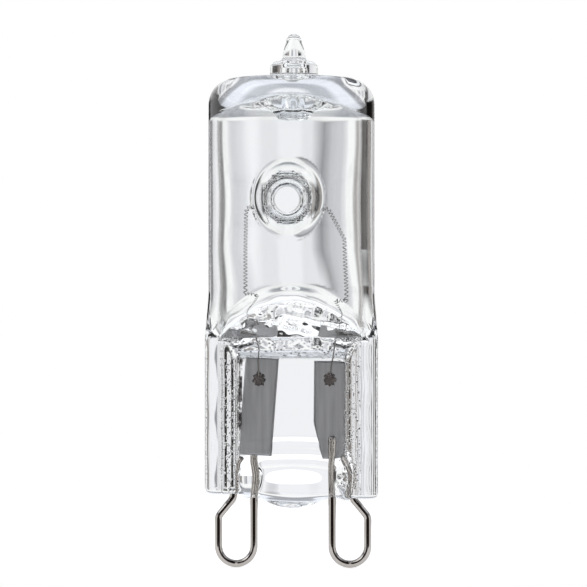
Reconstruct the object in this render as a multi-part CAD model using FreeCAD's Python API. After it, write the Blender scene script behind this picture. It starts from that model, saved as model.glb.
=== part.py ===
# Halogen capsule bulb: a blown and pinched glass capsule with two wire contact loops.
# Frame: origin on the lamp's axis at the lower end of the pinched glass, +Z towards the
# sealed exhaust tip, X across the two loops, front at -Y. Millimetres.

import FreeCAD, Part
import math
import os

Vector = FreeCAD.Vector

# Capsule
body_radius = 6.65
body_wall = 0.8
shoulder_top_z = 33.1
shoulder_radius = 2.2
shoulder_rise = 0.25
ceiling_z = 31.75
ceiling_radius = 1.5

# Sealed exhaust tube on the dome
exhaust_x = 0.2
stub_radius = 1.92
stub_height = 1.25
stub_edge_radius = 0.45
neck_radius = 0.92
neck_drop = 0.35
tip_height = 1.95
tip_end_radius = 0.55
tip_flat_radius = 0.12
exhaust_bore_radius = 0.75
exhaust_bore_height = 2.55
exhaust_bore_end_radius = 0.6

# Glass collar that stands into the capsule round the exhaust bore
collar_radius_top = 1.6
collar_radius_end = 1.25
collar_length = 1.95
collar_bowl_radius = 4.0
collar_bowl_depth = 1.1

# Two dimples that meet in a post and hold the filament
dimple_x = -0.35
dimple_z = 23.4
dimple_mouth_radius = 3.0
dimple_throat_radius = 1.75
dimple_floor_radius = 1.4
dimple_throat_depth = 3.1
dimple_wall = 0.45
post_half_thickness = 0.7

# Pinched seal, an H in section
pinch_half_width = 6.88
rail_half_thickness = 2.5
rail_corner_radius = 0.7
rail_end_radius = 0.5
end_slope_drop = 0.45
web_half_thickness = 1.2
web_half_width = 4.4
recess_slope_run = 0.75
recess_top_z = 11.15
pinch_top_z = 12.4
flare_top_z = 16.4
flare_inset = 0.12
bead_x = 0.15
bead_half_width = 2.95
bead_half_thickness = 1.15
bead_centre_z = 0.45
bead_drop = 1.28

# Lower end of the gas space, squeezed to a wedge under an arched edge
wedge_top_z = 16.4
wedge_end_z = 12.2
wedge_half_width = 5.25
wedge_half_thickness = 0.2
wedge_arch_z = 13.4
wedge_side_z = 12.4
wedge_arch_half_width = 4.6

# Molybdenum foils in the web's middle plane
foil_thickness = 0.05
foil_width = 2.66
foil_length = 7.9
left_foil_x = -2.62
left_foil_z = 6.9
left_foil_tilt_deg = 4.3
right_foil_x = 3.1
right_foil_z = 6.55
right_foil_tilt_deg = 0.6
right_foil_taper = 0.75

# Contact loops, bent from round wire
wire_diameter = 0.6
loop_radius = 1.42
loop_side_x = 4.525
loop_bottom_z = -6.05
left_loop_shift = 0.1
right_loop_shift = 0.14
shoulder_knee_z = -1.95
entry_z = -0.5
entry_inset = 1.2
anchor_rise_z = 1.5
anchor_end_z = 2.85
anchor_end_gap = 0.35
lead_top_z = 4.5
knee_bend_radius = 0.75
entry_bend_radius = 0.8
anchor_bend_radius = 1.0

# Fine leads from the filament to the foils
inner_lead_diameter = 0.12
weld_z = 9.0
left_weld_x = -2.6
right_weld_x = 3.05
weld_tab_radius = 0.42
weld_tab_notch_radius = 0.24
weld_tab_thickness = 0.1
weld_tab_points = 5
lead_bend_radius = 0.35

# Filament, drawn as the outer tube of its coil
coil_diameter = 0.34
coil_foot_z = 15.0
left_leg_x = -3.72
right_leg_x = 4.44
leg_lean = 0.14
leg_top_z = 22.85
coil_bend_radius = 0.5
coil_post_gap = 0.12
left_shoulder_run = 1.0
post_half_run = 0.8
post_rise_run = 1.4
right_shoulder_drop = 0.15
right_shoulder_run = 1.3
right_elbow_drop = 2.55
tail_length = 0.35

cut_margin = 1.0
section_points = 32


def polar(centre_x, centre_z, radius, angle_deg):
    """A point in the XZ plane at an angle from +X towards +Z."""
    angle = math.radians(angle_deg)
    return Vector(centre_x + radius * math.cos(angle), 0, centre_z + radius * math.sin(angle))


def squared_ring(half_width, half_depth, squareness, z):
    """A closed smooth ring between an ellipse (squareness 2) and a rounded box (above 4)."""
    points = []
    for index in range(section_points):
        angle = 2 * math.pi * index / section_points
        c, s = math.cos(angle), math.sin(angle)
        reach = (abs(c) ** squareness + abs(s) ** squareness) ** (1 / squareness)
        points.append(Vector(half_width * c / reach, half_depth * s / reach, z))
    ring = Part.BSplineCurve()
    ring.interpolate(points, PeriodicFlag=True)
    return Part.Wire([ring.toShape()])


def ease(share):
    """Curve from 0 to 1 that starts level and ends in a slope, as glass bends under the jaws."""
    return share * share * (2 - share)


def squeezed_loft(top_z, end_z, top_radius, end_half_width, end_half_depth, end_squareness):
    """Tube that is squeezed from a circle at top_z to a flat rounded box at end_z."""
    stations = 5
    rings = [Part.Wire([Part.Circle(Vector(0, 0, top_z), Vector(0, 0, 1), top_radius).toShape()])]
    for index in range(1, stations + 1):
        share = index / stations
        eased = ease(share)
        half_width = top_radius + (end_half_width - top_radius) * eased
        half_depth = top_radius + (end_half_depth - top_radius) * eased
        squareness = 2 + (end_squareness - 2) * eased
        rings.append(squared_ring(half_width, half_depth, squareness, top_z + (end_z - top_z) * share))
    return Part.makeLoft(rings, True, False)


def bent_wire(points, radii, diameter):
    """Round wire along straight runs that are joined by tangent arcs."""
    edges = []
    start = points[0]
    for corner, radius, before, after in zip(points[1:-1], radii, points[:-2], points[2:]):
        back = (before - corner).normalize()
        onward = (after - corner).normalize()
        half_angle = back.getAngle(onward) / 2
        reach = radius / math.tan(half_angle)
        entry = corner + back * reach
        leave = corner + onward * reach
        middle_way = (back + onward).normalize()
        middle = corner + middle_way * (radius / math.sin(half_angle) - radius)
        edges.append(Part.LineSegment(start, entry).toShape())
        edges.append(Part.Arc(entry, middle, leave).toShape())
        start = leave
    edges.append(Part.LineSegment(start, points[-1]).toShape())
    path = Part.Wire(edges)
    first_way = (points[1] - points[0]).normalize()
    section = Part.Wire([Part.Circle(points[0], first_way, diameter / 2).toShape()])
    return path.makePipeShell([section], True, False)


def revolved(edges, axis_point=Vector(0, 0, 0), axis=Vector(0, 0, 1)):
    """Solid of revolution from a closed outline."""
    return Part.Face(Part.Wire(edges)).revolve(axis_point, axis, 360)


def line(start, end):
    """One straight edge."""
    return Part.LineSegment(start, end).toShape()


def arc(start, middle, end):
    """One arc through three points."""
    return Part.Arc(start, middle, end).toShape()


def tube_body():
    """Outside of the round tube with its shoulder."""
    shoulder_x = body_radius - shoulder_radius
    shoulder_z = shoulder_top_z - shoulder_radius
    side = Vector(body_radius, 0, shoulder_z)
    top = Vector(shoulder_x, 0, shoulder_top_z)
    crown = Vector(0, 0, shoulder_top_z + shoulder_rise)
    foot = Vector(body_radius, 0, flare_top_z)
    foot_centre = Vector(0, 0, flare_top_z)
    return revolved([
        line(foot_centre, foot),
        line(foot, side),
        arc(side, polar(shoulder_x, shoulder_z, shoulder_radius, 45), top),
        line(top, crown),
        line(crown, foot_centre),
    ])


def exhaust_stub():
    """Fused end of the exhaust tube: a short stub, a sloped shoulder and a drawn tip."""
    base_z = shoulder_top_z - cut_margin / 2
    rim_z = shoulder_top_z + stub_height
    neck_z = rim_z + neck_drop
    tip_z = neck_z + tip_height - tip_end_radius
    base_centre = Vector(0, 0, base_z)
    base = Vector(stub_radius, 0, base_z)
    rim = Vector(stub_radius, 0, rim_z - stub_edge_radius)
    rim_top = Vector(stub_radius - stub_edge_radius, 0, rim_z)
    neck = Vector(neck_radius, 0, neck_z)
    tip = Vector(tip_end_radius, 0, tip_z)
    end = Vector(tip_flat_radius, 0, tip_z + tip_end_radius)
    end_centre = Vector(0, 0, tip_z + tip_end_radius)
    swell = Vector(neck_radius - (neck_radius - tip_end_radius) * 0.35, 0, (neck_z + tip_z) / 2)
    rim_centre_x = stub_radius - stub_edge_radius
    rim_middle = polar(rim_centre_x, rim_z - stub_edge_radius, stub_edge_radius, 45)
    stub = revolved([
        line(base_centre, base),
        line(base, rim),
        arc(rim, rim_middle, rim_top),
        line(rim_top, neck),
        arc(neck, swell, tip),
        arc(tip, polar(tip_flat_radius / 2, tip_z, tip_end_radius, 45), end),
        line(end, end_centre),
        line(end_centre, base_centre),
    ])
    stub.translate(Vector(exhaust_x, 0, 0))
    return stub


def pinch_block():
    """The pinched seal with its two rails and the recessed web between them."""
    top_z = pinch_top_z
    corners = [
        Vector(-pinch_half_width, -rail_half_thickness, 0),
        Vector(pinch_half_width, -rail_half_thickness, -end_slope_drop),
        Vector(pinch_half_width, -rail_half_thickness, top_z),
        Vector(-pinch_half_width, -rail_half_thickness, top_z),
    ]
    block = Part.Face(Part.makePolygon(corners + corners[:1]))
    block = block.extrude(Vector(0, 2 * rail_half_thickness, 0))
    upright = [e for e in block.Edges if abs(e.tangentAt(e.FirstParameter).z) > 0.99]
    block = block.makeFillet(rail_corner_radius, upright)
    lower = [e for e in block.Edges if e.BoundBox.ZMax < rail_corner_radius / 2]
    block = block.makeFillet(rail_end_radius, lower)
    for side in (-1, 1):
        block = block.cut(web_recess(side))
    return block


def web_recess(side):
    """Tapered pocket that leaves the web between the rails, open at the lower end."""
    depth = rail_half_thickness - web_half_thickness + cut_margin
    run = recess_slope_run * depth / (rail_half_thickness - web_half_thickness)
    bottom_z = -end_slope_drop - cut_margin

    def frame_at(y, grow):
        corners = [
            Vector(-web_half_width - grow, y, bottom_z),
            Vector(web_half_width + grow, y, bottom_z),
            Vector(web_half_width + grow, y, recess_top_z + grow),
            Vector(-web_half_width - grow, y, recess_top_z + grow),
        ]
        return Part.makePolygon(corners + corners[:1])

    inner = frame_at(side * web_half_thickness, 0)
    outer = frame_at(side * (web_half_thickness + depth), run)
    return Part.makeLoft([inner, outer], True, True)


def seal_bead():
    """Bead of glass that the pinch jaws squeezed out between the leads."""
    bead = Part.makeSphere(1, Vector(0, 0, 0), Vector(1, 0, 0))
    shape = FreeCAD.Matrix()
    shape.scale(Vector(bead_half_width, bead_half_thickness, bead_centre_z + bead_drop))
    bead = bead.transformGeometry(shape)
    bead.translate(Vector(bead_x, 0, bead_centre_z))
    return bead


def gas_space():
    """Hollow of the capsule: round tube, ceiling, squeezed lower wedge and exhaust bore."""
    inner_radius = body_radius - body_wall
    corner_x = inner_radius - ceiling_radius
    corner_z = ceiling_z - ceiling_radius
    foot_centre = Vector(0, 0, wedge_top_z)
    foot = Vector(inner_radius, 0, wedge_top_z)
    side = Vector(inner_radius, 0, corner_z)
    top = Vector(corner_x, 0, ceiling_z)
    crown = Vector(0, 0, ceiling_z)
    tube = revolved([
        line(foot_centre, foot),
        line(foot, side),
        arc(side, polar(corner_x, corner_z, ceiling_radius, 45), top),
        line(top, crown),
        line(crown, foot_centre),
    ])
    wedge = squeezed_loft(
        wedge_top_z, wedge_end_z, inner_radius, wedge_half_width, wedge_half_thickness, 4)
    wedge = wedge.cut(wedge_floor())
    return tube.fuse(wedge).cut(exhaust_collar()).fuse(exhaust_bore())


def wedge_floor():
    """Arched block of glass that closes the lower end of the gas space."""
    reach = body_radius + cut_margin
    left = Vector(-wedge_arch_half_width, -reach, wedge_side_z)
    right = Vector(wedge_arch_half_width, -reach, wedge_side_z)
    crown = Vector(0, -reach, wedge_arch_z)
    outer_left = Vector(-reach, -reach, wedge_side_z)
    outer_right = Vector(reach, -reach, wedge_side_z)
    low_left = Vector(-reach, -reach, 0)
    low_right = Vector(reach, -reach, 0)
    outline = Part.Wire([
        arc(left, crown, right),
        line(right, outer_right),
        line(outer_right, low_right),
        line(low_right, low_left),
        line(low_left, outer_left),
        line(outer_left, left),
    ])
    return Part.Face(outline).extrude(Vector(0, 2 * reach, 0))


def exhaust_collar():
    """Bowl and collar of glass round the exhaust bore, under the ceiling."""
    top_z = ceiling_z + cut_margin
    bowl_z = ceiling_z - collar_bowl_depth
    end_z = ceiling_z - collar_length
    bowl_rim = Vector(collar_bowl_radius, 0, ceiling_z)
    bowl_foot = Vector(collar_radius_top, 0, bowl_z)
    bowl_middle = Vector(
        (collar_bowl_radius + collar_radius_top) / 2 + collar_bowl_depth / 4, 0,
        ceiling_z - collar_bowl_depth * 0.7)
    outline = [
        line(Vector(0, 0, top_z), Vector(collar_bowl_radius, 0, top_z)),
        line(Vector(collar_bowl_radius, 0, top_z), bowl_rim),
        arc(bowl_rim, bowl_middle, bowl_foot),
        line(bowl_foot, Vector(collar_radius_end, 0, end_z)),
        line(Vector(collar_radius_end, 0, end_z), Vector(0, 0, end_z)),
        line(Vector(0, 0, end_z), Vector(0, 0, top_z)),
    ]
    collar = revolved(outline)
    collar.translate(Vector(exhaust_x, 0, 0))
    return collar


def exhaust_bore():
    """Blind bore of the tipped-off exhaust tube, open to the gas space."""
    start_z = ceiling_z - collar_length
    length = collar_length + exhaust_bore_height
    bore = Part.makeCylinder(exhaust_bore_radius, length, Vector(exhaust_x, 0, start_z))
    rim = [e for e in bore.Edges if e.BoundBox.ZMin > start_z + length / 2]
    return bore.makeFillet(exhaust_bore_end_radius, rim)


def dimple(side, grow):
    """Funnel pressed into one face, or with grow the glass that stands round it inside."""
    mouth_y = body_radius + cut_margin
    floor_y = 0 if grow else post_half_thickness
    throat_y = body_radius - dimple_throat_depth
    floor_edge = dimple_floor_radius * 0.5
    flank_radius = (dimple_mouth_radius + dimple_throat_radius) / 2 + grow
    flank_y = (mouth_y + throat_y) / 2 - 0.1
    outline = [
        line(Vector(0, mouth_y, 0), Vector(dimple_mouth_radius + cut_margin / 2 + grow, mouth_y, 0)),
        arc(
            Vector(dimple_mouth_radius + cut_margin / 2 + grow, mouth_y, 0),
            Vector(flank_radius, flank_y, 0),
            Vector(dimple_throat_radius + grow, throat_y, 0)),
        line(
            Vector(dimple_throat_radius + grow, throat_y, 0),
            Vector(dimple_floor_radius + grow, floor_y + floor_edge, 0)),
        arc(
            Vector(dimple_floor_radius + grow, floor_y + floor_edge, 0),
            Vector(dimple_floor_radius + grow - floor_edge * 0.3, floor_y + floor_edge * 0.3, 0),
            Vector(dimple_floor_radius + grow - floor_edge, floor_y, 0)),
        line(Vector(dimple_floor_radius + grow - floor_edge, floor_y, 0), Vector(0, floor_y, 0)),
        line(Vector(0, floor_y, 0), Vector(0, mouth_y, 0)),
    ]
    funnel = revolved(outline, Vector(0, 0, 0), Vector(0, 1, 0))
    if side < 0:
        funnel = funnel.mirror(Vector(0, 0, 0), Vector(0, 1, 0))
    funnel.translate(Vector(dimple_x, 0, dimple_z))
    return funnel


def glass_envelope(embedded):
    """The capsule, one piece of glass, with the sealed-in metal cut out of it."""
    flare = squeezed_loft(
        flare_top_z, pinch_top_z - cut_margin / 4, body_radius,
        pinch_half_width - flare_inset, rail_half_thickness - flare_inset, 6)
    outside = tube_body().fuse([flare, pinch_block(), exhaust_stub(), seal_bead()])
    walls = outside.cut(gas_space())
    for side in (-1, 1):
        walls = walls.fuse(dimple(side, dimple_wall).common(tube_body()))
    for side in (-1, 1):
        walls = walls.cut(dimple(side, 0))
    walls = walls.cut(embedded)
    return walls.removeSplitter()


def foil(centre_x, centre_z, tilt_deg, taper):
    """Flat molybdenum foil; taper takes a corner off its lower inner side."""
    half_width = foil_width / 2
    half_length = foil_length / 2
    y = -foil_thickness / 2
    corners = [
        Vector(-half_width, y, half_length),
        Vector(half_width, y, half_length),
        Vector(half_width, y, -half_length),
        Vector(-half_width + taper, y, -half_length),
        Vector(-half_width, y, -half_length * 0.25),
    ]
    if taper == 0:
        corners[3:] = [Vector(-half_width, y, -half_length)]
    plate = Part.Face(Part.makePolygon(corners + corners[:1]))
    plate = plate.extrude(Vector(0, foil_thickness, 0))
    plate.rotate(Vector(0, 0, 0), Vector(0, 1, 0), tilt_deg)
    plate.translate(Vector(centre_x, 0, centre_z))
    return plate


def contact_loop(side, shift, face):
    """One contact: its inner leg runs up to the foil, its outer leg is anchored in the glass."""
    axis_x = side * (loop_side_x + shift)
    inner_x = axis_x - side * loop_radius
    outer_x = axis_x + side * loop_radius
    entry_x = outer_x - side * entry_inset
    y = face * (wire_diameter + foil_thickness) / 2
    bottom_z = loop_bottom_z + wire_diameter / 2
    points = [
        Vector(inner_x, y, lead_top_z),
        Vector(inner_x, y, bottom_z),
        Vector(outer_x, y, bottom_z),
        Vector(outer_x, y, shoulder_knee_z),
        Vector(entry_x, y, entry_z),
        Vector(entry_x, y, anchor_rise_z),
        Vector(inner_x + side * (wire_diameter + anchor_end_gap), y, anchor_end_z),
    ]
    near_round = loop_radius * 0.999
    radii = [near_round, near_round, knee_bend_radius, entry_bend_radius, anchor_bend_radius]
    return bent_wire(points, radii, wire_diameter)


def inner_lead(points):
    """Fine wire from the filament's end down to its weld on the foil."""
    return bent_wire(points, [lead_bend_radius] * (len(points) - 2), inner_lead_diameter)


def lead_plane_y():
    """Depth of a fine lead that lies on the front face of a foil."""
    return -(foil_thickness + inner_lead_diameter) / 2


def left_lead_points():
    """Route of the left fine lead."""
    y = lead_plane_y()
    top_z = coil_foot_z - tail_length
    return [
        Vector(left_leg_x, 0, top_z),
        Vector(left_leg_x + 0.2, y / 2, top_z - 0.9),
        Vector(left_weld_x, y, top_z - 2.4),
        Vector(left_weld_x - 0.06, y, top_z - 4.2),
        Vector(left_weld_x, y, weld_z + weld_tab_radius * 0.6),
    ]


def right_lead_points():
    """Route of the right fine lead."""
    y = lead_plane_y()
    top_z = coil_foot_z - tail_length
    return [
        Vector(right_leg_x, 0, top_z),
        Vector(right_leg_x - 0.3, y / 2, top_z - 0.9),
        Vector(right_weld_x + 0.4, y, top_z - 2.2),
        Vector(right_weld_x + 0.25, y, top_z - 3.9),
        Vector(right_weld_x, y, weld_z + weld_tab_radius * 0.6),
    ]


def weld_tab(centre_x, lead):
    """Crumpled tab round the end of a fine lead, where it is welded to its foil."""
    corners = []
    for index in range(2 * weld_tab_points):
        radius = weld_tab_radius if index % 2 == 0 else weld_tab_notch_radius
        angle = 180 * index / weld_tab_points
        corners.append(polar(0, 0, radius, angle + 15))
    tab = Part.Face(Part.makePolygon(corners + corners[:1]))
    tab = tab.extrude(Vector(0, -weld_tab_thickness, 0))
    tab.translate(Vector(centre_x, -foil_thickness / 2, weld_z))
    return tab.cut(lead)


def filament_points():
    """Route of the coil: up one side, under the glass post and down the other side."""
    under_z = dimple_z - dimple_floor_radius - dimple_wall - coil_post_gap - coil_diameter / 2
    left_top_x = left_leg_x + leg_lean
    right_top_x = right_leg_x - leg_lean
    right_shoulder_z = leg_top_z - right_shoulder_drop
    return [
        Vector(left_leg_x, 0, coil_foot_z),
        Vector(left_top_x, 0, leg_top_z),
        Vector(left_top_x + left_shoulder_run, 0, leg_top_z),
        Vector(dimple_x - post_half_run, 0, under_z),
        Vector(dimple_x + post_half_run, 0, under_z),
        Vector(dimple_x + post_half_run + post_rise_run, 0, right_shoulder_z),
        Vector(right_top_x - right_shoulder_run, 0, right_shoulder_z),
        Vector(right_top_x, 0, leg_top_z - right_elbow_drop),
        Vector(right_leg_x, 0, coil_foot_z),
    ]


def filament():
    """Tungsten coil as a tube of its outer diameter, with its straight tails."""
    points = filament_points()
    coil = bent_wire(points, [coil_bend_radius] * (len(points) - 2), coil_diameter)
    tails = []
    for foot in (points[0], points[-1]):
        tail = Part.makeCylinder(
            inner_lead_diameter / 2, tail_length, foot, Vector(0, 0, -1))
        tails.append(tail)
    return coil.fuse(tails)


def export(name, shape):
    """Writes one piece as a STEP file and prints its size."""
    solids = len(shape.Solids)
    box = shape.BoundBox
    print(f"{name}: valid {shape.isValid()}, solids {solids}, volume {shape.Volume:.3f},"
          f" x {box.XMin:.2f} {box.XMax:.2f} y {box.YMin:.2f} {box.YMax:.2f}"
          f" z {box.ZMin:.2f} {box.ZMax:.2f}")
    shape.exportStep(os.path.join("parts", name + ".step"))


def main():
    """Builds every piece of the bulb and writes it."""
    os.makedirs("parts", exist_ok=True)
    left_lead = inner_lead(left_lead_points())
    right_lead = inner_lead(right_lead_points())
    pieces = {
        "contact_loop_left": contact_loop(-1, -left_loop_shift, 1),
        "contact_loop_right": contact_loop(1, right_loop_shift, -1),
        "foil_left": foil(left_foil_x, left_foil_z, left_foil_tilt_deg, 0),
        "foil_right": foil(right_foil_x, right_foil_z, right_foil_tilt_deg, right_foil_taper),
        "inner_lead_left": left_lead,
        "inner_lead_right": right_lead,
        "weld_tab_left": weld_tab(left_weld_x, left_lead),
        "weld_tab_right": weld_tab(right_weld_x, right_lead),
        "filament": filament(),
    }
    embedded = [shape for name, shape in pieces.items() if name != "filament"]
    pieces["glass_envelope"] = glass_envelope(embedded)
    for name, shape in pieces.items():
        export(name, shape)


main()
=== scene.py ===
"""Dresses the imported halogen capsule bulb: blown glass, coil, leads, foils, wire loops and studio."""
import logging
import math
from dataclasses import dataclass
from enum import Enum

import bpy
import numpy as np
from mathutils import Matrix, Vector


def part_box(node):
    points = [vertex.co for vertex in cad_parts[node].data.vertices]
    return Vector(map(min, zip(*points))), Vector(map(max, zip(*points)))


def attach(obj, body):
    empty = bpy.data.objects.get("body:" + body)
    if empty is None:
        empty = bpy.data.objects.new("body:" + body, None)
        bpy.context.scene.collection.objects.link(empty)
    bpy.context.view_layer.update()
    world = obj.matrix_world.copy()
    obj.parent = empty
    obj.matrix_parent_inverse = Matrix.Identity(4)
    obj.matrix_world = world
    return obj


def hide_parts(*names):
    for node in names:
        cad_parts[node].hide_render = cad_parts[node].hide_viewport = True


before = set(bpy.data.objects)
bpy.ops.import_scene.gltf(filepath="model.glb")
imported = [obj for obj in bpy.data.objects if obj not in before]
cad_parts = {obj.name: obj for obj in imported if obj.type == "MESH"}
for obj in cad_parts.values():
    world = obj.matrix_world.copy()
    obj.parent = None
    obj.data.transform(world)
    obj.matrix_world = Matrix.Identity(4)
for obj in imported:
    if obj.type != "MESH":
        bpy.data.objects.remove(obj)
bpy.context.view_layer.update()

LOG = logging.getLogger("capsule_bulb")
MM = 0.001
BODY = "root"
WHITE = (1, 1, 1, 1)
IMAGE_SIDE = 587
PIXELS_PER_MM = 12.5

Array = np.ndarray
Material = bpy.types.Material
Tree = bpy.types.NodeTree
Socket = bpy.types.NodeSocket
Corner = tuple[float, float, float]
Zones = tuple[tuple[float, str], ...]


class Side(Enum):
    """Half of the bulb, as the sign of its x."""

    LEFT = -1
    RIGHT = 1

    def node(self, stem: str) -> str:
        """Name of this side's CAD node.

        Args:
            stem: the name that both sides share.

        Returns:
            The node's full name.
        """
        return f"{stem}_{self.name.lower()}"


# Helpers ---------------------------------------------------------------------------------------


def linear_colour(hex_value: str) -> tuple[float, float, float, float]:
    """Turns an sRGB hex value into linear RGBA.

    Args:
        hex_value: six hex digits with a leading hash sign.

    Returns:
        Linear red, green and blue with an alpha of 1.
    """
    channels = [int(hex_value[i:i + 2], 16) / 255 for i in (1, 3, 5)]
    linear = [c / 12.92 if c <= 0.04045 else ((c + 0.055) / 1.055) ** 2.4 for c in channels]
    return linear[0], linear[1], linear[2], 1.0


def feed(tree: Tree, node: bpy.types.Node, inputs: dict) -> None:
    """Gives a node its values and links.

    Args:
        tree: the node tree that holds the node.
        node: the node.
        inputs: values or output sockets, keyed by the input's name or number.
    """
    for key, value in inputs.items():
        if isinstance(value, Socket):
            tree.links.new(value, node.inputs[key])
        else:
            node.inputs[key].default_value = value


def add_node(tree: Tree, kind: str, settings: dict | None = None,
             inputs: dict | None = None) -> bpy.types.Node:
    """Adds one node with its settings, values and links.

    Args:
        tree: the node tree that gets the node.
        kind: the node's type name.
        settings: attributes of the node itself.
        inputs: values or output sockets, keyed by the input's name or number.

    Returns:
        The new node.
    """
    node = tree.nodes.new(kind)
    for key, value in (settings or {}).items():
        setattr(node, key, value)
    feed(tree, node, inputs or {})
    return node


def compute(tree: Tree, operation: str, *values: Socket | float) -> Socket:
    """Adds a math node and gives its result.

    Args:
        tree: the node tree that gets the node.
        operation: what it works out.
        values: its inputs in their order.

    Returns:
        The result.
    """
    return add_node(tree, "ShaderNodeMath", {"operation": operation},
                    dict(enumerate(values))).outputs[0]


def mix_colours(tree: Tree, kind: str, share: Socket | float, first: Socket | tuple,
                second: Socket | tuple) -> Socket:
    """Adds a node that mixes two colours.

    Args:
        tree: the node tree that gets the node.
        kind: how the second colour goes on the first.
        share: how much of it goes on.
        first: the colour below.
        second: the colour on top.

    Returns:
        The mixed colour.
    """
    return add_node(tree, "ShaderNodeMix", {"data_type": "RGBA", "blend_type": kind}, {
        0: share, 6: first, 7: second}).outputs[2]


def make_object(name: str, vertices: Array, faces: list | Array,
                material: Material) -> bpy.types.Object:
    """Makes a smooth mesh object at the origin from points in millimetres.

    Args:
        name: name of the object and its mesh.
        vertices: rows of x, y and z in millimetres.
        faces: rows of vertex numbers, wound outwards.
        material: finish of the whole piece.

    Returns:
        The new object, linked to the scene.
    """
    mesh = bpy.data.meshes.new(name)
    mesh.from_pydata((np.asarray(vertices) * MM).tolist(), [], [list(map(int, f)) for f in faces])
    mesh.shade_smooth()
    mesh.materials.append(material)
    mesh.update()
    piece = bpy.data.objects.new(name, mesh)
    bpy.context.scene.collection.objects.link(piece)
    return piece


def place(piece: bpy.types.Object, node: str) -> None:
    """Rides a finished piece on the bulb, in place of its CAD node.

    Args:
        piece: the finished piece.
        node: the CAD node that the piece stands for.
    """
    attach(piece, BODY)
    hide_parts(node)
    LOG.info("%s: %d faces", piece.name, len(piece.data.polygons))


# Finishes --------------------------------------------------------------------------------------


def new_material(name: str) -> tuple[Material, Tree, bpy.types.Node]:
    """Starts a material.

    Args:
        name: the material's name.

    Returns:
        The material, its node tree and its Principled shader.
    """
    material = bpy.data.materials.new(name)
    material.use_nodes = True
    tree = material.node_tree
    return material, tree, tree.nodes["Principled BSDF"]


def noise(tree: Tree, size_mm: float, detail: float, stretch: float = 1.0) -> Socket:
    """Noise that keeps still on the object.

    Args:
        tree: the material's node tree.
        size_mm: size of its patches.
        detail: how many finer layers it has.
        stretch: its scale along the bulb, where less than 1 draws it out.

    Returns:
        The noise, from 0 to 1.
    """
    spot = add_node(tree, "ShaderNodeTexCoord").outputs["Object"]
    drawn = add_node(tree, "ShaderNodeMapping", inputs={"Vector": spot, "Scale": (1, 1, stretch)})
    return add_node(tree, "ShaderNodeTexNoise", inputs={
        "Vector": drawn.outputs[0], "Scale": 1 / (size_mm * MM), "Detail": detail}).outputs[0]


def relief(tree: Tree, height: Socket, depth_mm: float, normal: Socket | None = None) -> Socket:
    """Bump of a real depth.

    Args:
        tree: the material's node tree.
        height: the relief, from 0 to 1.
        depth_mm: its depth.
        normal: a bumped normal that it goes on top of.

    Returns:
        The bumped normal.
    """
    bump = add_node(tree, "ShaderNodeBump", inputs={
        "Height": height, "Distance": depth_mm * MM, "Strength": 1.0})
    if normal is not None:
        tree.links.new(normal, bump.inputs["Normal"])
    return bump.outputs[0]


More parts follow.
